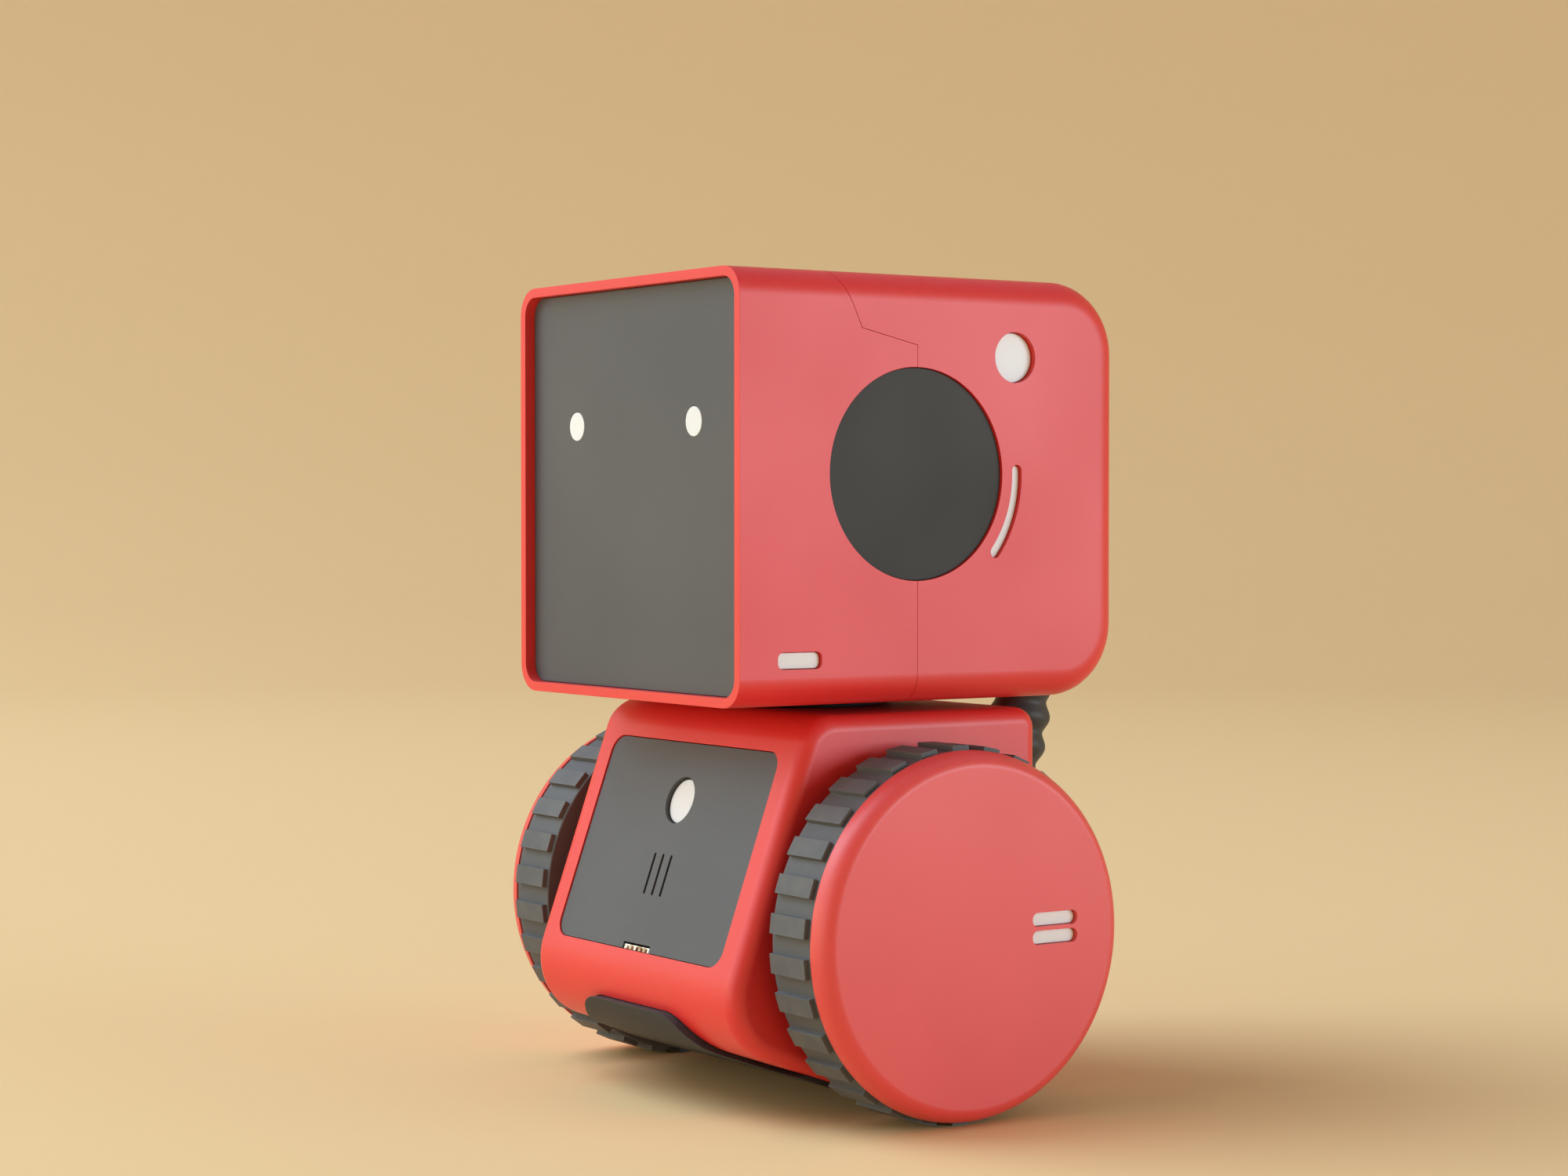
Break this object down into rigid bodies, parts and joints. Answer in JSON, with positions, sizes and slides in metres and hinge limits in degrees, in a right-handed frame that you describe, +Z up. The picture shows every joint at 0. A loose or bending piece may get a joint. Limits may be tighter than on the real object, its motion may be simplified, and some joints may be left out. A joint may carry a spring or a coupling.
{
  "type": "educational coding robot",
  "caption": "Small wheeled coding robot with a cube head, screen face, sloped belly panel with a push button, lugged tyres and a ribbed cable conduit behind the neck.",
  "frame": {"origin": "on the floor under the middle of the whole robot", "axes": "+Z up, the robot looks along -Y, its own left side is +X"},
  "size_m": [0.095, 0.0844, 0.1293],
  "materials": {
    "red_shell": "satin moulded plastic",
    "grey_panel": "fine matt moulded plastic",
    "ear_grey": "fine matt moulded plastic",
    "pan_grey": "fine matt moulded plastic",
    "white_insert": "satin translucent white plastic",
    "tyre": "matt grey rubber",
    "conduit_rubber": "matt dark grey rubber",
    "circuit_board": "solder mask",
    "motor_case": "moulded plastic",
    "battery_wrap": "shrink wrap",
    "steel": "turned steel",
    "brass": "turned brass",
    "port_insert": "cream plastic",
    "skid_white": "low friction plastic",
    "black_plastic": "moulded plastic"
  },
  "bodies": {
    "root": {"neck_bearing": "black_plastic", "neck_washer": "black_plastic", "body_shell": "red_shell", "pan_screw_1": "steel", "pan_screw_2": "steel", "pan_screw_3": "steel", "pan_screw_4": "steel", "underpan": "pan_grey", "chassis_frame": "black_plastic", "battery": "battery_wrap", "main_board": "circuit_board", "rear_skid": "skid_white", "axle_bush_left": "brass", "gearmotor_left": "motor_case", "axle_bush_right": "brass", "gearmotor_right": "motor_case", "conduit_body_gland": "conduit_rubber", "neck_conduit": "conduit_rubber", "belly_panel": "grey_panel", "chest_switch": "black_plastic", "belly_speaker": "black_plastic", "charging_port": "port_insert"},
    "head": {"head_front_shell": "red_shell", "head_rear_shell": "red_shell", "eye_light_left": "white_insert", "eye_light_right": "white_insert", "face_panel": "grey_panel", "face_board": "circuit_board", "ear_cap_left": "ear_grey", "ear_speaker_left": "black_plastic", "arc_light_left": "white_insert", "pill_light_left": "white_insert", "side_board_left": "circuit_board", "ear_cap_right": "ear_grey", "ear_speaker_right": "black_plastic", "arc_light_right": "white_insert", "pill_light_right": "white_insert", "side_board_right": "circuit_board", "neck_spigot": "black_plastic", "neck_retainer": "steel", "conduit_head_elbow": "conduit_rubber"},
    "side_button_left": {"side_button_left": "white_insert"},
    "wheel_left": {"tyre_left": "tyre", "hub_pill_left_1": "white_insert", "hub_pill_left_2": "white_insert", "hub_cover_left": "red_shell", "wheel_rim_left": "black_plastic", "axle_left": "steel"},
    "side_button_right": {"side_button_right": "white_insert"},
    "wheel_right": {"tyre_right": "tyre", "hub_pill_right_1": "white_insert", "hub_pill_right_2": "white_insert", "hub_cover_right": "red_shell", "wheel_rim_right": "black_plastic", "axle_right": "steel"},
    "chest_button": {"chest_button": "white_insert"},
    "power_switch": {"power_switch": "black_plastic"}
  },
  "joints": [
    {"name": "head_pan", "type": "hinge", "parent": "root", "child": "head", "pos_m": [0, -0.00903, 0.06255], "axis": [0, 0, 1], "range_deg": [-20, 20], "deforming": ["neck_conduit"]},
    {"name": "side_button_left_press", "type": "slide", "parent": "head", "child": "side_button_left", "axis": [-1, 0, 0], "range_m": [0, 0.0008], "stiffness_N_per_m": 300, "springref_m": -0.0005},
    {"name": "side_button_right_press", "type": "slide", "parent": "head", "child": "side_button_right", "axis": [1, 0, 0], "range_m": [0, 0.0008], "stiffness_N_per_m": 300, "springref_m": -0.0005},
    {"name": "chest_button_press", "type": "slide", "parent": "root", "child": "chest_button", "axis": [0, 0.9415, -0.3371], "range_m": [0, 0.0008], "stiffness_N_per_m": 300, "springref_m": -0.0005},
    {"name": "power_switch_slide", "type": "slide", "parent": "root", "child": "power_switch", "axis": [1, 0, 0], "range_m": [0, 0.0025]},
    {"name": "wheel_left_spin", "type": "hinge", "parent": "root", "child": "wheel_left", "pos_m": [0.0387, -0.00903, 0.02874], "axis": [1, 0, 0], "continuous": true},
    {"name": "wheel_right_spin", "type": "hinge", "parent": "root", "child": "wheel_right", "pos_m": [-0.0387, -0.00903, 0.02874], "axis": [1, 0, 0], "continuous": true}
  ]
}
